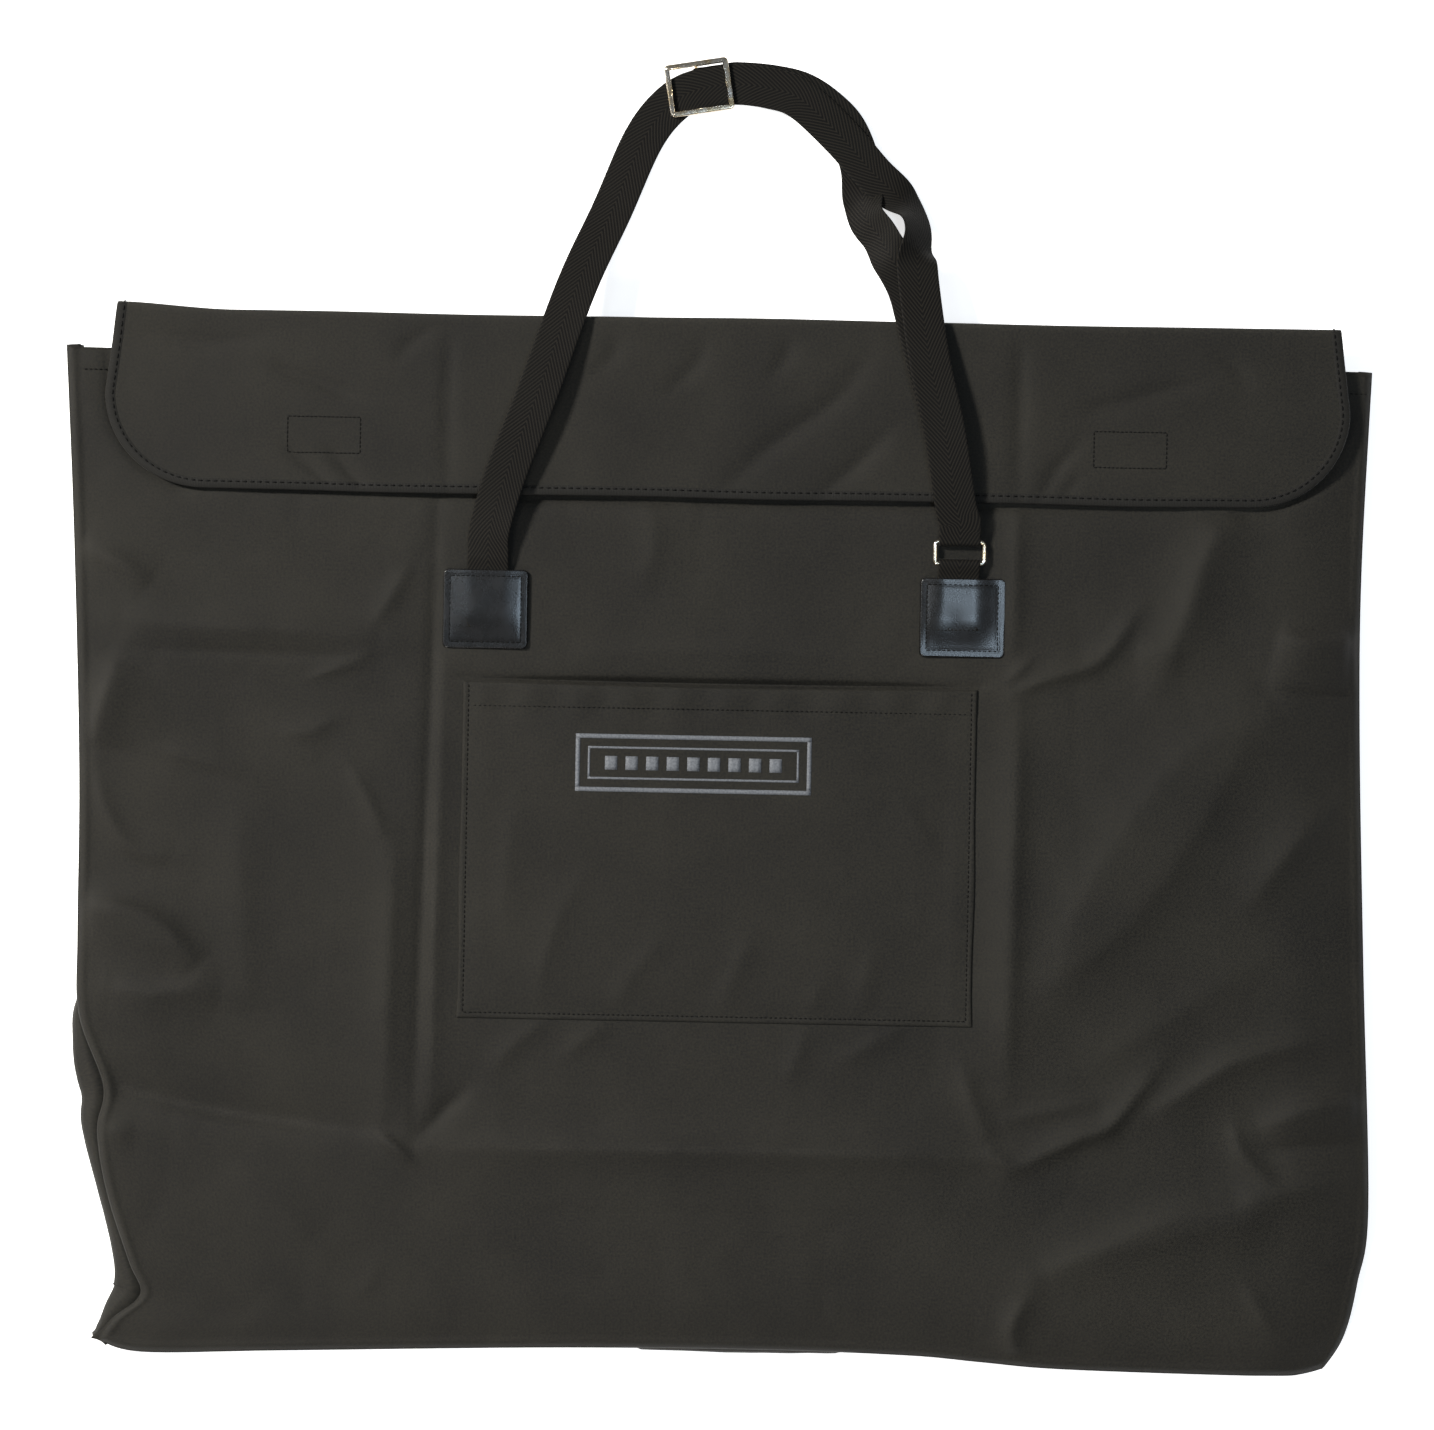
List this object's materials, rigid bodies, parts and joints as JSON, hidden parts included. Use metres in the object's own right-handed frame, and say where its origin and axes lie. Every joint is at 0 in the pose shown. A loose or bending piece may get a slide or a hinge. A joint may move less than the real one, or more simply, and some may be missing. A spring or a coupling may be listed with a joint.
{
  "type": "portfolio case",
  "caption": "Flat black nylon carrying case for one large canvas, with a gusset, a fold-over flap, a front pocket and an adjustable webbing handle.",
  "frame": {"origin": "centre of the back panel's outer face, which the case lies on", "axes": "+X across the width, +Y from the bottom toward the mouth and the handle, +Z out of the front panel"},
  "size_m": [0.95, 0.9578, 0.0427],
  "materials": {
    "coated_nylon": "black coated plain-weave nylon with a soft sheen",
    "seam_tape": "matt black woven tape",
    "thread": "black polyester thread",
    "hook_and_loop": "black hook and loop tape",
    "leather": "glossy black leather with a fine pebble grain",
    "webbing": "matt black herringbone webbing",
    "nickel": "bright nickel plate"
  },
  "bodies": {
    "case": {"back_panel": "coated_nylon", "front_panel": "coated_nylon", "side_gusset_left": "coated_nylon", "side_gusset_right": "coated_nylon", "bottom_gusset": "coated_nylon", "front_seam_binding": "seam_tape", "back_seam_binding": "seam_tape", "mouth_hem_stitching": "thread", "front_pocket": "coated_nylon", "pocket_stitching": "thread", "pocket_hem_stitching": "thread", "loop_patch_left": "hook_and_loop", "loop_patch_right": "hook_and_loop", "anchor_patch_left": "leather", "anchor_patch_right": "leather", "patch_stitching_left": "thread", "patch_stitching_right": "thread", "strap_sewn_end": "webbing", "ring_tab": "webbing"},
    "flap_root": {"flap_top_strip": "coated_nylon"},
    "flap": {"flap_leaf": "coated_nylon", "flap_edge_binding": "seam_tape", "flap_edge_stitching": "thread", "hook_patch_left": "hook_and_loop", "hook_patch_right": "hook_and_loop", "hook_patch_stitching": "thread"},
    "handle": {"strap_main_run": "webbing", "strap_ring_turn": "webbing", "strap_return_run": "webbing", "strap_ring": "nickel"},
    "slider": {"slider_frame": "nickel", "slider_centre_bar": "nickel", "strap_end_loop": "webbing"}
  },
  "joints": [
    {"name": "flap_root_turn", "type": "hinge", "parent": "case", "child": "flap_root", "pos_m": [0, 0.3685, 0.001], "axis": [-1, 0, 0], "range_deg": [0, 42]},
    {"name": "flap_fold", "type": "hinge", "parent": "flap_root", "child": "flap", "pos_m": [0, 0.39949, 0.0289], "axis": [-1, 0, 0], "range_deg": [0, 138], "deforming": ["strap_main_run", "strap_return_run"]},
    {"name": "handle_swing", "type": "hinge", "parent": "case", "child": "handle", "pos_m": [0, 0.221, 0.0295], "axis": [1, 0, 0], "range_deg": [0, 160]},
    {"name": "slider_slide", "type": "slide", "parent": "handle", "child": "slider", "axis": [0.986, 0.1668, 0], "range_m": [0, 0.025]}
  ],
  "couplings": [
    {"joint": "flap_root_turn", "follows": "flap_fold", "ratio": 0.30435}
  ]
}
